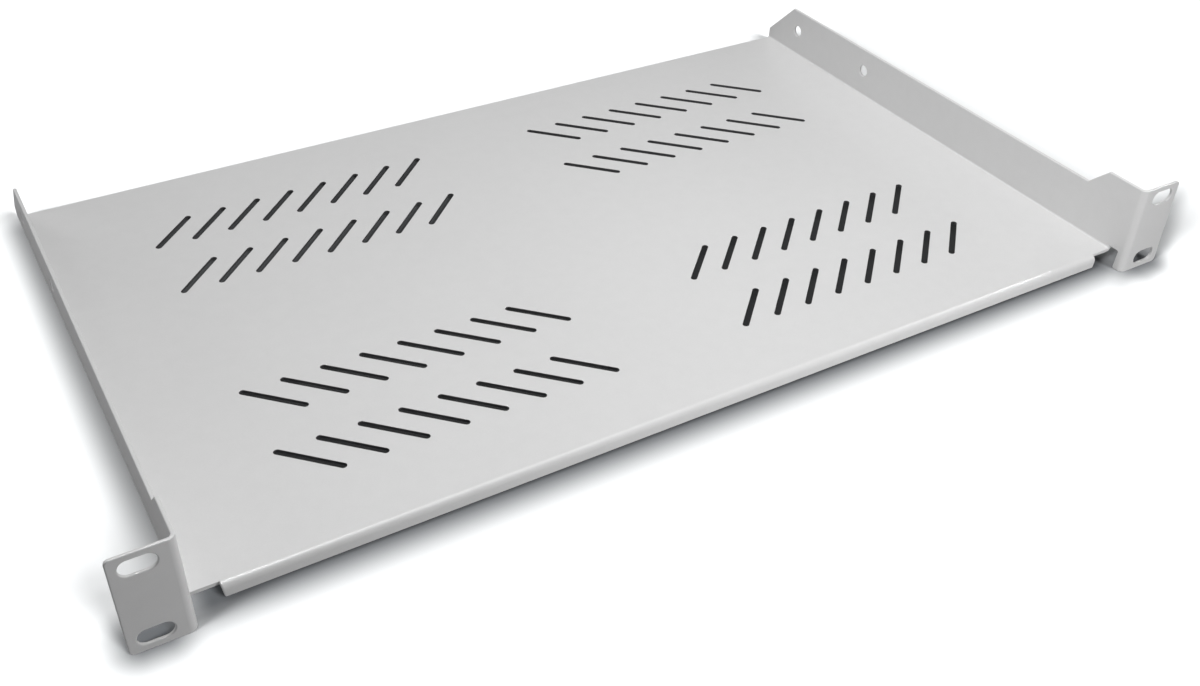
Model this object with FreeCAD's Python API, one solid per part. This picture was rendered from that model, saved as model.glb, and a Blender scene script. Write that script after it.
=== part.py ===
import FreeCAD, Part
import os
import math

# One-unit cantilever rack shelf for a 19 inch rack, folded from one sheet of
# 1.5 mm steel.  Millimetres.
# Frame: X to the right, Y to the rear, Z up.  The origin is the centre of the
# four slots in the two front ears, on the ears' rear face, which is the face
# that lies against the rack posts.

V = FreeCAD.Vector

# ---------------------------------------------------------------- dimensions
T = 1.5                    # sheet thickness
RI = 1.0                   # inside radius of the side and lip bends
RO = RI + T                # and their outside radius
EAR_RI = 1.5               # inside radius of the two ear bends
EAR_RO = EAR_RI + T        # and their outside radius
EDGE_R = 0.5               # rounding of the coated cut edges
VENT_EDGE_R = 0.2          # and at the vent slots

OVERALL_W = 482.6          # across the two ears
EAR_H = 43.6               # height of the ears, one rack unit less clearance
EAR_CORNER_R = 2.0         # outer corners of the ears
EAR_SLOT_PITCH_X = 463.4   # slot centres, left to right
EAR_SLOT_PITCH_Z = 31.75   # slot centres, low to high
EAR_SLOT_L = 12.5          # end to end
EAR_SLOT_H = 6.7

BODY_W = 440.0             # across the outside of the two side flanges
PAN_TOP_Z = -13.7          # upper face of the tray
PAN_REAR_Y = 277.5         # plain cut rear edge
PAN_FRONT_Y = 8.5          # where the tray ends and the lip's bend begins

FLANGE_TOP_Z = 12.0        # top edge along most of the depth
FLANGE_REAR_Z = -8.0       # top of the short upright rear edge
REAR_CHAMFER_Y = 21.0      # run of the sloped rear corner along the depth
STEP_REAR_Y = 29.7         # foot of the ramp up to the ear's height
STEP_RUN = 10.0            # length of the ramp along the depth

TAB_TOP_Y = 3.4            # rear edge of the tab that drops beside the notch,
TAB_BOTTOM_Y = 4.0         # leaning back a little towards its foot
TAB_NOTCH_Z = PAN_TOP_Z + RI + 0.4   # the small relief behind the tab ends
                                     # just above the flange's bend
TAB_CORNER_R = 0.8         # lower rear corner of the tab
TAB_RELIEF_R = 0.8         # inner corner of the relief

LIP_TOP_HALF_W = 207.9     # the front lip stops short of the side flanges,
LIP_BOTTOM_HALF_W = 207.2  # and its ends lean inwards a little
LIP_BOTTOM_Z = -19.5
LIP_CORNER_R = 0.7

SIDE_HOLE_D = 6.0          # two round holes near the rear of each flange
SIDE_HOLE_Y = (191.0, 251.0)
SIDE_HOLE_Z = 0.0

VENT_L = 29.5              # vent slot, end to end
VENT_W = 2.8
VENT_N = 8                 # slots in a row
VENT_X0 = 42.0             # centre of the innermost slot of a row
VENT_PITCH = 16.85
VENT_REAR_Y = (229.4, 189.4)
VENT_FRONT_Y = (91.3, 51.3)
VENT_ANGLE = 45.0

XO = BODY_W / 2.0          # outside face of a side flange
XI = XO - T                # inside face
ZT = EAR_H / 2.0
ZB = -EAR_H / 2.0
EAR_X = OVERALL_W / 2.0


# ------------------------------------------------------------------- helpers
def line(a, b):
    return Part.LineSegment(a, b).toShape()


def outline(points, radii=None, closed=True):
    """Closed wire through the points; a point with a radius is rounded by a
    tangent arc."""
    n = len(points)
    radii = radii or {}
    ends = []
    arcs = {}
    for i, p in enumerate(points):
        r = radii.get(i, 0.0)
        if r <= 0.0:
            ends.append((p, p))
            continue
        a = points[(i - 1) % n] - p
        b = points[(i + 1) % n] - p
        a.normalize()
        b.normalize()
        half = math.acos(max(-1.0, min(1.0, a.dot(b)))) / 2.0
        cut = r / math.tan(half)
        p1 = p + a * cut
        p2 = p + b * cut
        mid = a + b
        mid.normalize()
        centre = p + mid * (r / math.sin(half))
        inner = centre - mid * r
        ends.append((p1, p2))
        arcs[i] = Part.Arc(p1, inner, p2).toShape()
    edges = []
    for i in range(n):
        if i in arcs:
            edges.append(arcs[i])
        s = ends[i][1]
        e = ends[(i + 1) % n][0]
        if s.distanceToPoint(e) > 1e-7:
            edges.append(line(s, e))
    return Part.Wire(Part.__sortEdges__(edges))


def solid_from(wire, direction):
    return Part.Face(wire).extrude(direction)


def bend_arc(centre, start, end, radius):
    """Quarter arc about centre from start to end, in the plane they lie in."""
    mid = (start + end) * 0.5 - centre
    mid.normalize()
    return Part.Arc(start, centre + mid * radius, end).toShape()


def obround(cx, cy, length, width, angle_deg, z0, height):
    """Upright obround prism, its long axis turned from +X by the angle."""
    r = width / 2.0
    h = length / 2.0 - r
    e = [
        line(V(-h, r, 0), V(h, r, 0)),
        Part.Arc(V(h, r, 0), V(h + r, 0, 0), V(h, -r, 0)).toShape(),
        line(V(h, -r, 0), V(-h, -r, 0)),
        Part.Arc(V(-h, -r, 0), V(-h - r, 0, 0), V(-h, r, 0)).toShape(),
    ]
    s = solid_from(Part.Wire(e), V(0, 0, height))
    s.rotate(V(0, 0, 0), V(0, 0, 1), angle_deg)
    s.translate(V(cx, cy, z0))
    return s


# ----------------------------------------------- tray with its two side bends
def tray():
    """U section of tray, lower bends and side flanges, run along the depth."""
    y = PAN_FRONT_Y
    zt = PAN_TOP_Z
    zb = PAN_TOP_Z - T
    cz = zt + RI                       # height of the bend centre
    cx = XI - RI
    left_c = V(-cx, y, cz)
    right_c = V(cx, y, cz)
    e = [
        line(V(-cx, y, zb), V(cx, y, zb)),
        bend_arc(right_c, V(cx, y, zb), V(XO, y, cz), RO),
        line(V(XO, y, cz), V(XO, y, ZT)),
        line(V(XO, y, ZT), V(XI, y, ZT)),
        line(V(XI, y, ZT), V(XI, y, cz)),
        bend_arc(right_c, V(XI, y, cz), V(cx, y, zt), RI),
        line(V(cx, y, zt), V(-cx, y, zt)),
        bend_arc(left_c, V(-cx, y, zt), V(-XI, y, cz), RI),
        line(V(-XI, y, cz), V(-XI, y, ZT)),
        line(V(-XI, y, ZT), V(-XO, y, ZT)),
        line(V(-XO, y, ZT), V(-XO, y, cz)),
        bend_arc(left_c, V(-XO, y, cz), V(-cx, y, zb), RO),
    ]
    return solid_from(Part.Wire(e), V(0, PAN_REAR_Y - y, 0))


def flange_side_cut():
    """What is cut away from the tall U: above the flange's top edge, with the
    ramp near the front and the sloped corner at the rear."""
    x = -XO - 5.0
    far = PAN_REAR_Y + 5.0
    slope = (FLANGE_TOP_Z - FLANGE_REAR_Z) / REAR_CHAMFER_Y
    pts = [
        V(x, STEP_REAR_Y - STEP_RUN, ZT),
        V(x, STEP_REAR_Y, FLANGE_TOP_Z),
        V(x, PAN_REAR_Y - REAR_CHAMFER_Y, FLANGE_TOP_Z),
        V(x, far, FLANGE_REAR_Z - slope * 5.0),
        V(x, far, ZT + 5.0),
        V(x, STEP_REAR_Y - STEP_RUN, ZT + 5.0),
    ]
    return solid_from(outline(pts), V(2.0 * (XO + 5.0), 0, 0))


# --------------------------------------------------------- front tab and ear
def ear(side):
    """Forward part of a flange, bent outwards into the ear: an L section run
    upwards, then cut to the tab's side outline.  side is +1 or -1."""
    cx = XO + EAR_RI
    cy = EAR_RI
    c = V(cx, cy, ZB)
    e = [
        line(V(XI, PAN_FRONT_Y, ZB), V(XI, cy, ZB)),
        bend_arc(c, V(XI, cy, ZB), V(cx, -T, ZB), EAR_RO),
        line(V(cx, -T, ZB), V(EAR_X, -T, ZB)),
        line(V(EAR_X, -T, ZB), V(EAR_X, 0, ZB)),
        line(V(EAR_X, 0, ZB), V(cx, 0, ZB)),
        bend_arc(c, V(cx, 0, ZB), V(XO, cy, ZB), EAR_RI),
        line(V(XO, cy, ZB), V(XO, PAN_FRONT_Y, ZB)),
        line(V(XO, PAN_FRONT_Y, ZB), V(XI, PAN_FRONT_Y, ZB)),
    ]
    s = solid_from(Part.Wire(e), V(0, 0, EAR_H))

    # the flange part's side outline: the relief behind the tab is left out,
    # and the tab's lower rear corner is rounded
    x = XI - 2.0
    front = -T - 1.0
    pts = [
        V(x, front, ZB),
        V(x, TAB_BOTTOM_Y, ZB),
        V(x, TAB_TOP_Y, TAB_NOTCH_Z),
        V(x, PAN_FRONT_Y, TAB_NOTCH_Z),
        V(x, PAN_FRONT_Y, ZT),
        V(x, front, ZT),
    ]
    side_view = outline(pts, {1: TAB_CORNER_R, 2: TAB_RELIEF_R})
    s = s.common(solid_from(side_view, V(EAR_X - x + 2.0, 0, 0)))

    # rounded outer corners of the ear
    r = EAR_CORNER_R
    keep = outline([V(XI - 5.0, -T - 1.0, ZB), V(EAR_X, -T - 1.0, ZB),
                    V(EAR_X, -T - 1.0, ZT), V(XI - 5.0, -T - 1.0, ZT)],
                   {1: r, 2: r})
    s = s.common(solid_from(keep, V(0, PAN_FRONT_Y + T + 3.0, 0)))

    # the two mounting slots
    for sz in (-1, 1):
        slot = obround(0, 0, EAR_SLOT_L, EAR_SLOT_H, 0.0, -3.0, 6.0)
        slot.rotate(V(0, 0, 0), V(1, 0, 0), 90.0)
        slot.translate(V(EAR_SLOT_PITCH_X / 2.0, -T / 2.0,
                         sz * EAR_SLOT_PITCH_Z / 2.0))
        s = s.cut(slot)
    if side < 0:
        s = s.mirror(V(0, 0, 0), V(1, 0, 0))
    return s


# ----------------------------------------------------------------- front lip
def lip():
    """The tray's front edge folded down, shorter than the tray."""
    x = -LIP_TOP_HALF_W - 1.0
    zt = PAN_TOP_Z
    cy = PAN_FRONT_Y
    cz = zt - T - RI
    c = V(x, cy, cz)
    yf = cy - RO                       # front face of the lip
    yb = cy - RI                       # rear face of the lip
    e = [
        line(V(x, cy, zt), V(x, cy, zt - T)),
        bend_arc(c, V(x, cy, zt - T), V(x, yb, cz), RI),
        line(V(x, yb, cz), V(x, yb, LIP_BOTTOM_Z)),
        line(V(x, yb, LIP_BOTTOM_Z), V(x, yf, LIP_BOTTOM_Z)),
        line(V(x, yf, LIP_BOTTOM_Z), V(x, yf, cz)),
        bend_arc(c, V(x, yf, cz), V(x, cy, zt), RO),
    ]
    s = solid_from(Part.Wire(e), V(-2.0 * x, 0, 0))
    keep = outline([V(-LIP_TOP_HALF_W, yf - 1.0, zt),
                    V(-LIP_BOTTOM_HALF_W, yf - 1.0, LIP_BOTTOM_Z),
                    V(LIP_BOTTOM_HALF_W, yf - 1.0, LIP_BOTTOM_Z),
                    V(LIP_TOP_HALF_W, yf - 1.0, zt)],
                   {1: LIP_CORNER_R, 2: LIP_CORNER_R})
    return s.common(solid_from(keep, V(0, RO + 3.0, 0)))


# ---------------------------------------------------------------------- vents
def vents():
    """Four groups of two rows of eight angled slots, mirrored about X = 0."""
    cuts = []
    for rows, right_angle in ((VENT_REAR_Y, -VENT_ANGLE),
                              (VENT_FRONT_Y, VENT_ANGLE)):
        for y in rows:
            for i in range(VENT_N):
                x = VENT_X0 + i * VENT_PITCH
                cuts.append(obround(x, y, VENT_L, VENT_W, right_angle,
                                    PAN_TOP_Z - T - 2.0, T + 4.0))
                cuts.append(obround(-x, y, VENT_L, VENT_W, -right_angle,
                                    PAN_TOP_Z - T - 2.0, T + 4.0))
    return cuts


def side_holes():
    cuts = []
    for y in SIDE_HOLE_Y:
        for x0 in (-XO - 2.0, XI - 2.0):
            cuts.append(Part.makeCylinder(SIDE_HOLE_D / 2.0, T + 4.0,
                                          V(x0, y, SIDE_HOLE_Z), V(1, 0, 0)))
    return cuts


def build():
    body = tray().cut(flange_side_cut())
    body = body.fuse([ear(1), ear(-1), lip()])
    body = body.removeSplitter()
    body = body.cut(Part.makeCompound(vents() + side_holes()))
    solids = body.Solids
    if len(solids) != 1:
        raise RuntimeError("the sheet fell into %d solids" % len(solids))
    body = solids[0]
    if not body.isValid():
        raise RuntimeError("the sheet's solid is not valid")
    return body


def edge_angle(body, edge):
    """Angle in degrees between the two faces that meet along an edge."""
    faces = body.ancestorsOfType(edge, Part.Face)
    if len(faces) != 2:
        return 0.0
    p = edge.valueAt((edge.FirstParameter + edge.LastParameter) / 2.0)
    normals = [f.normalAt(*f.Surface.parameter(p)) for f in faces]
    return math.degrees(normals[0].getAngle(normals[1]))


def soften(body):
    """Rounds the cut edges, which the coating has softened.  The short front
    cuts of the tray beside the lip stay as they are, because they run tangent
    into the lip's bend."""
    for radius, at_vents in ((VENT_EDGE_R, True), (EDGE_R, False)):
        edges = []
        for edge in body.Edges:
            box = edge.BoundBox
            front_cut = (abs(box.YMin - PAN_FRONT_Y) < 0.01
                         and abs(box.YMax - PAN_FRONT_Y) < 0.01)
            vent = (box.ZMax < PAN_TOP_Z + 0.01 and box.YMin > 30.0
                    and box.YMax < PAN_REAR_Y - 5.0 and box.XLength < VENT_L
                    and max(abs(box.XMin), abs(box.XMax)) < XO - 10.0)
            if (vent == at_vents and not front_cut
                    and edge_angle(body, edge) > 60.0):
                edges.append(edge)
        body = body.makeFillet(radius, edges)
        if len(body.Solids) != 1 or not body.isValid():
            raise RuntimeError("the rounded sheet is not one valid solid")
        body = body.Solids[0]
    return body


shelf = soften(build())
os.makedirs("parts", exist_ok=True)
shelf.exportStep("parts/shelf.step")

bb = shelf.optimalBoundingBox(False, False)
print("shelf: volume %.1f mm3, %d faces, box X %.2f..%.2f Y %.2f..%.2f Z %.2f..%.2f"
      % (shelf.Volume, len(shelf.Faces), bb.XMin, bb.XMax, bb.YMin, bb.YMax,
         bb.ZMin, bb.ZMax))
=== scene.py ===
import math

import bpy
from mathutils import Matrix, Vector

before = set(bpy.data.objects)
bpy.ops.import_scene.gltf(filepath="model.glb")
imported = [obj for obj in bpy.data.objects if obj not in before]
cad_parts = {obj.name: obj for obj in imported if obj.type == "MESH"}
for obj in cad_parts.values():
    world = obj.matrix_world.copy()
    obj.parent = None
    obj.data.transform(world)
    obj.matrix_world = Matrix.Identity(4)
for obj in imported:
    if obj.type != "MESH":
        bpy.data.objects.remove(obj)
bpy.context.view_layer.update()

scene = bpy.context.scene
scene.view_settings.view_transform = "Standard"
scene.view_settings.look = "None"
scene.view_settings.exposure = 0.0
scene.view_settings.gamma = 1.0

MM = 0.001
COAT = (0.62, 0.62, 0.62)
# painted shade: the vent slot walls are coloured dark to stand for the shade inside the slots
SLOT_WALL_PAINTED_SHADE = (0.10, 0.10, 0.103)
FLOOR_WHITE = (0.838, 0.85, 0.856)
# painted shadow: the ground's colour next to the shelf, standing for its contact shadow
FLOOR_PAINTED_SHADOW = (0.112, 0.118, 0.125)
# painted shade: the ground's colour under the middle of the tray
FLOOR_PAINTED_SHADE_UNDER = (0.080, 0.082, 0.084)
FLOOR_BOUNCE = (0.251, 0.251, 0.254)

# Broad soft light on the ground: azimuth, elevation and spread in degrees, and
# weight.
GROUND_SUNS = (
    (15, 40, 18, 0.80), (285, 30, 18, 0.95),
    (60, 74, 26, 0.06), (180, 72, 26, 0.06), (300, 74, 26, 0.06),
)

# ------------------------------------------------------------------ camera
# The picture is 1200 x 686; the focal length is 1296.8 of its pixels.
cam_data = bpy.data.cameras.new("camera")
cam_data.sensor_fit = "HORIZONTAL"
cam_data.sensor_width = 36.0
cam_data.lens = 1296.84 / 1200.0 * 36.0
cam_data.clip_start = 0.01
cam_data.clip_end = 20.0
camera = bpy.data.objects.new("camera", cam_data)
scene.collection.objects.link(camera)
camera.location = Vector((-0.25548, -0.30775, 0.31557))
camera.rotation_mode = "XYZ"
camera.rotation_euler = [math.radians(a) for a in (52.6874, -1.3729, -30.5267)]
scene.camera = camera


# --------------------------------------------------------------- materials
def new_material(name):
    m = bpy.data.materials.new(name)
    m.use_nodes = True
    nt = m.node_tree
    nt.nodes.clear()
    out = nt.nodes.new("ShaderNodeOutputMaterial")
    bsdf = nt.nodes.new("ShaderNodeBsdfPrincipled")
    nt.links.new(bsdf.outputs["BSDF"], out.inputs["Surface"])
    return m, nt, bsdf


def powder_coat():
    """Satin light grey powder coat: a faint cloudiness in the colour, a fine
    orange peel, a finer grain, and a gloss that wanders a little.  Inside the
    vent slots the walls are darkened as painted shade, with a duller gloss."""
    m, nt, b = new_material("powder_coat_light_grey")
    n = nt.nodes
    link = nt.links.new
    co = n.new("ShaderNodeTexCoord")

    def noise(scale, detail, rough=0.5):
        t = n.new("ShaderNodeTexNoise")
        t.inputs["Scale"].default_value = scale
        t.inputs["Detail"].default_value = detail
        t.inputs["Roughness"].default_value = rough
        link(co.outputs["Object"], t.inputs["Vector"])
        return t.outputs["Fac"]

    def ramp(value, low, high, to_low, to_high, smooth=False):
        r = n.new("ShaderNodeMapRange")
        r.interpolation_type = "SMOOTHSTEP" if smooth else "LINEAR"
        link(value, r.inputs["Value"])
        r.inputs["From Min"].default_value = low
        r.inputs["From Max"].default_value = high
        r.inputs["To Min"].default_value = to_low
        r.inputs["To Max"].default_value = to_high
        return r.outputs[0]

    def maths(operation, p, q=None):
        k = n.new("ShaderNodeMath")
        k.operation = operation
        for i, v in enumerate((p, q)):
            if v is None:
                continue
            if isinstance(v, (int, float)):
                k.inputs[i].default_value = v
            else:
                link(v, k.inputs[i])
        return k.outputs[0]

    cloud = ramp(noise(9.0, 2.0), 0.3, 0.7, -0.008, 0.008)
    mottle = ramp(noise(160.0, 3.0), 0.3, 0.7, -0.010, 0.010)
    grain = ramp(noise(2600.0, 2.0, 0.6), 0.3, 0.7, -0.016, 0.016)
    shade = maths("ADD", maths("ADD", cloud, mottle), grain)

    # the walls of the vent slots, by their place and their direction; their colour is darkened there
    # as painted shade
    at = n.new("ShaderNodeSeparateXYZ")
    link(co.outputs["Object"], at.inputs[0])
    facing = n.new("ShaderNodeSeparateXYZ")
    link(co.outputs["Normal"], facing.inputs[0])
    upright = ramp(maths("ABSOLUTE", facing.outputs["Z"]), 0.80, 0.45, 0.0, 1.0, True)
    inside_x = maths("LESS_THAN", maths("ABSOLUTE", at.outputs["X"]), 0.200)
    inside_y = maths("COMPARE", at.outputs["Y"], 0.142)
    inside_y.node.inputs[2].default_value = 0.128
    below = maths("LESS_THAN", at.outputs["Z"], -0.0136)
    slot_wall_shade = maths("MULTIPLY", upright, maths("MULTIPLY", inside_x, maths("MULTIPLY", inside_y, below)))

    # painted shade: the slot walls are mixed to a dark colour that stands for the shade in the vents
    tone = n.new("ShaderNodeMix")
    tone.data_type = "RGBA"
    link(slot_wall_shade, tone.inputs["Factor"])
    tone.inputs[6].default_value = (*COAT, 1.0)
    tone.inputs[7].default_value = (*SLOT_WALL_PAINTED_SHADE, 1.0)
    vary = n.new("ShaderNodeHueSaturation")
    link(tone.outputs[2], vary.inputs["Color"])
    link(maths("ADD", shade, 1.0), vary.inputs["Value"])
    link(vary.outputs["Color"], b.inputs["Base Color"])

    gloss = ramp(noise(28.0, 3.0), 0.3, 0.7, 0.355, 0.405)
    gloss = maths("ADD", gloss, ramp(noise(900.0, 2.0), 0.3, 0.7, -0.02, 0.02))
    link(maths("ADD", gloss, maths("MULTIPLY", slot_wall_shade, 0.3)), b.inputs["Roughness"])
    b.inputs["Specular IOR Level"].default_value = 0.5

    peel = n.new("ShaderNodeBump")
    peel.inputs["Strength"].default_value = 0.30
    peel.inputs["Distance"].default_value = 0.00004
    link(noise(520.0, 2.0), peel.inputs["Height"])
    fine = n.new("ShaderNodeBump")
    fine.inputs["Strength"].default_value = 0.25
    fine.inputs["Distance"].default_value = 0.000008
    link(noise(2600.0, 2.0, 0.6), fine.inputs["Height"])
    link(peel.outputs["Normal"], fine.inputs["Normal"])
    link(fine.outputs["Normal"], b.inputs["Normal"])
    return m


def floor_material():
    """White ground, with a soft shadow painted into its colour close to the shelf
    and a deeper painted shade under it, so the vent slots look into shade.  It
    throws back less light than it shows, as a table does that is only shown white."""
    m, nt, b = new_material("white_ground")
    n = nt.nodes
    link = nt.links.new
    co = n.new("ShaderNodeTexCoord")
    sep = n.new("ShaderNodeSeparateXYZ")
    link(co.outputs["Object"], sep.inputs[0])
    side = n.new("ShaderNodeMath")
    side.operation = "ABSOLUTE"
    link(sep.outputs["X"], side.inputs[0])

    def past(socket, low, high):
        """How far a coordinate lies outside the span from low to high, in mm."""
        d = n.new("ShaderNodeMath"); d.operation = "SUBTRACT"
        link(socket, d.inputs[0]); d.inputs[1].default_value = 0.5 * (low + high) * MM
        a = n.new("ShaderNodeMath"); a.operation = "ABSOLUTE"
        link(d.outputs[0], a.inputs[0])
        o = n.new("ShaderNodeMath"); o.operation = "SUBTRACT"
        link(a.outputs[0], o.inputs[0]); o.inputs[1].default_value = 0.5 * (high - low) * MM
        z = n.new("ShaderNodeMath"); z.operation = "MAXIMUM"
        link(o.outputs[0], z.inputs[0]); z.inputs[1].default_value = 0.0
        return z.outputs[0]

    def clear_of(px, py, soft):
        """0 on a rectangle of the ground, 1 well outside it."""
        v = n.new("ShaderNodeCombineXYZ")
        link(px, v.inputs[0]); link(py, v.inputs[1])
        g = n.new("ShaderNodeVectorMath"); g.operation = "LENGTH"
        link(v.outputs[0], g.inputs[0])
        r = n.new("ShaderNodeMapRange"); r.interpolation_type = "SMOOTHSTEP"
        link(g.outputs["Value"], r.inputs["Value"])
        r.inputs["From Min"].default_value = -0.5 * MM
        r.inputs["From Max"].default_value = soft * MM
        return r.outputs[0]

    def beneath(px, py, soft):
        """1 on a rectangle of the ground, 0 well outside it."""
        k = n.new("ShaderNodeMath"); k.operation = "SUBTRACT"
        k.inputs[0].default_value = 1.0
        link(clear_of(px, py, soft), k.inputs[1])
        return k.outputs[0]

    # painted shadow: the ground is darkened softly around the tray and the ears
    tray = clear_of(past(sep.outputs["X"], -211.0, 213.0), past(sep.outputs["Y"], 8.7, 264.0), 21.5)
    ears = clear_of(past(side.outputs[0], 229.0, 236.5), past(sep.outputs["Y"], 1.0, 6.0), 17.0)
    # painted shade: the right ear's faint shadow is painted on the ground, running back and to the
    # right of it
    slant = n.new("ShaderNodeMath"); slant.operation = "MULTIPLY_ADD"
    link(sep.outputs["Y"], slant.inputs[0])
    slant.inputs[1].default_value = -1.61
    link(sep.outputs["X"], slant.inputs[2])
    painted_shade_beside_ear = n.new("ShaderNodeMapRange")
    link(clear_of(past(slant.outputs[0], 230.0, 242.0), past(sep.outputs["Y"], 1.0, 27.0), 19.0),
         painted_shade_beside_ear.inputs["Value"])
    painted_shade_beside_ear.inputs["To Min"].default_value = 0.46
    clear_of_ear_shadows = n.new("ShaderNodeMath"); clear_of_ear_shadows.operation = "MULTIPLY"
    link(ears, clear_of_ear_shadows.inputs[0])
    link(painted_shade_beside_ear.outputs[0], clear_of_ear_shadows.inputs[1])
    clear_of_painted_shadow = n.new("ShaderNodeMath"); clear_of_painted_shadow.operation = "MULTIPLY"
    link(tray, clear_of_painted_shadow.inputs[0])
    link(clear_of_ear_shadows.outputs[0], clear_of_painted_shadow.inputs[1])
    # painted shadow: the ground's colour fades from the dark shadow colour near the shelf to white
    shown = n.new("ShaderNodeMix"); shown.data_type = "RGBA"
    link(clear_of_painted_shadow.outputs[0], shown.inputs["Factor"])
    shown.inputs[6].default_value = (*FLOOR_PAINTED_SHADOW, 1.0)
    shown.inputs[7].default_value = (*FLOOR_WHITE, 1.0)
    # painted shade: the ground is darker still under the middle of the tray
    painted_shade_under_tray = n.new("ShaderNodeMix"); painted_shade_under_tray.data_type = "RGBA"
    link(beneath(past(sep.outputs["X"], -198.0, 198.0), past(sep.outputs["Y"], 32.0, 258.0), 10.0),
         painted_shade_under_tray.inputs["Factor"])
    link(shown.outputs[2], painted_shade_under_tray.inputs[6])
    painted_shade_under_tray.inputs[7].default_value = (*FLOOR_PAINTED_SHADE_UNDER, 1.0)
    path = n.new("ShaderNodeLightPath")
    seen = n.new("ShaderNodeMix"); seen.data_type = "RGBA"
    link(path.outputs["Is Camera Ray"], seen.inputs["Factor"])
    seen.inputs[6].default_value = (*FLOOR_BOUNCE, 1.0)
    link(painted_shade_under_tray.outputs[2], seen.inputs[7])
    link(seen.outputs[2], b.inputs["Base Color"])
    b.inputs["Roughness"].default_value = 1.0
    b.inputs["Specular IOR Level"].default_value = 0.0
    return m


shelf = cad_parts["shelf"]
coat = powder_coat()
for slot in shelf.material_slots:
    slot.material = coat

# ------------------------------------------------------------------- floor
# The shelf stands on the lower edges of its ears and on the tray's rear edge,
# so the ground rises a little towards the rear in the shelf's own frame.
front = (-0.75 * MM, -21.8 * MM)
rear = (277.5 * MM, -15.2 * MM)
slope = (rear[1] - front[1]) / (rear[0] - front[0])


def ground(y):
    return front[1] + (y - front[0]) * slope - 0.02 * MM


mesh = bpy.data.meshes.new("floor")
r = 6.0
mesh.from_pydata(
    [(x, y, ground(y)) for x, y in ((-r, -r), (r, -r), (r, r), (-r, r))],
    [],
    [(0, 1, 2, 3)],
)
floor = bpy.data.objects.new("floor", mesh)
scene.collection.objects.link(floor)
floor.data.materials.append(floor_material())

# ------------------------------------------------------------------ lights
# Two plain sets of soft boxes.  One lights the shelf alone, the other the
# ground alone, where the shelf still throws its shadow: the ground stays white
# with a narrow soft shadow, as it is in the photograph.
# Near the shelf the ground's shadow is partly painted into its colour, not only cast by these lights.
world = bpy.data.worlds.new("studio")
scene.world = world
world.use_nodes = True
bg = world.node_tree.nodes["Background"]
bg.inputs["Color"].default_value = (1.0, 1.0, 1.0, 1.0)
bg.inputs["Strength"].default_value = 0.0

lit_shelf = bpy.data.collections.new("lit_shelf")
lit_shelf.objects.link(shelf)
lit_floor = bpy.data.collections.new("lit_floor")
lit_floor.objects.link(floor)
CENTRE = Vector((0.0, 0.14, -0.015))


def area(name, place, target, size, power, receivers, colour=(1.0, 1.0, 1.0)):
    d = bpy.data.lights.new(name, "AREA")
    d.shape = "SQUARE"
    d.size = size
    d.energy = power
    d.color = colour
    o = bpy.data.objects.new(name, d)
    scene.collection.objects.link(o)
    o.location = place
    back = Vector(place) - Vector(target)
    o.rotation_euler = back.to_track_quat("Z", "Y").to_euler()
    o.visible_camera = False
    o.light_linking.receiver_collection = receivers
    return o


def around(azimuth, elevation, distance):
    """A place seen from the middle of the shelf; azimuth 0 is in front of it,
    90 to its right."""
    a, e = math.radians(azimuth), math.radians(elevation)
    return CENTRE + distance * Vector(
        (math.sin(a) * math.cos(e), -math.cos(a) * math.cos(e), math.sin(e))
    )


for az, el, w in (
    (270, 15, 0.090), (180, 42, 0.054), (180, 65, 0.505), (225, 42, 0.255), (135, 42, 0.142),
    (225, 15, 0.255),
):
    area("far_%03d_%02d" % (az, el), around(az, el, 1.4), CENTRE, 0.6, 10.0 * w, lit_shelf)
for i, (x, y, w) in enumerate(((0.04, 0.0, 0.610), (0.18, 0.12, 0.205))):
    area("near_%d" % i, (x, y, 0.5), (x, y, 0.0), 0.35, 3.0 * w, lit_shelf)
for i, (x, y, z, w) in enumerate(((0.085, -0.35, -0.005, 0.520), (0.20, -0.35, 0.15, 0.110))):
    low = area("low_%d" % i, (x, y, z), (0.5 * x, 0.0, -0.015), 0.08, 2.0 * w, lit_shelf)
    low.visible_glossy = False
for i, (place, target, w) in enumerate((
    ((-0.20, 0.10, 0.60), (-0.23, 0.0, 0.0), 0.164),
    ((0.67, 0.07, 0.39), (0.23, 0.0, 0.0), 0.164),
)):
    rim = area("rim_%d" % i, place, target, 0.12, w, lit_shelf)
    rim.data.spread = math.radians(40)
    rim.visible_diffuse = False
area("card", (0.10, -0.22, -0.021), (0.10, -0.22, 1.0), 0.20, 0.075, lit_shelf)
# the dim light on the ground under the tray, seen through the vents
under = area("under", (0.0, 0.145, -0.0165), (0.0, 0.145, -1.0), 0.38, 0.062, lit_floor)
under.data.shape = "RECTANGLE"
under.data.size_y = 0.21
for i, (az, el, spread, w) in enumerate(GROUND_SUNS):
    d = bpy.data.lights.new("ground_%d" % i, "SUN")
    d.angle = math.radians(spread)
    d.energy = w * math.pi / 0.846
    o = bpy.data.objects.new("ground_%d" % i, d)
    scene.collection.objects.link(o)
    o.location = around(az, el, 2.0)
    o.rotation_euler = (o.location - CENTRE).to_track_quat("Z", "Y").to_euler()
    o.light_linking.receiver_collection = lit_floor
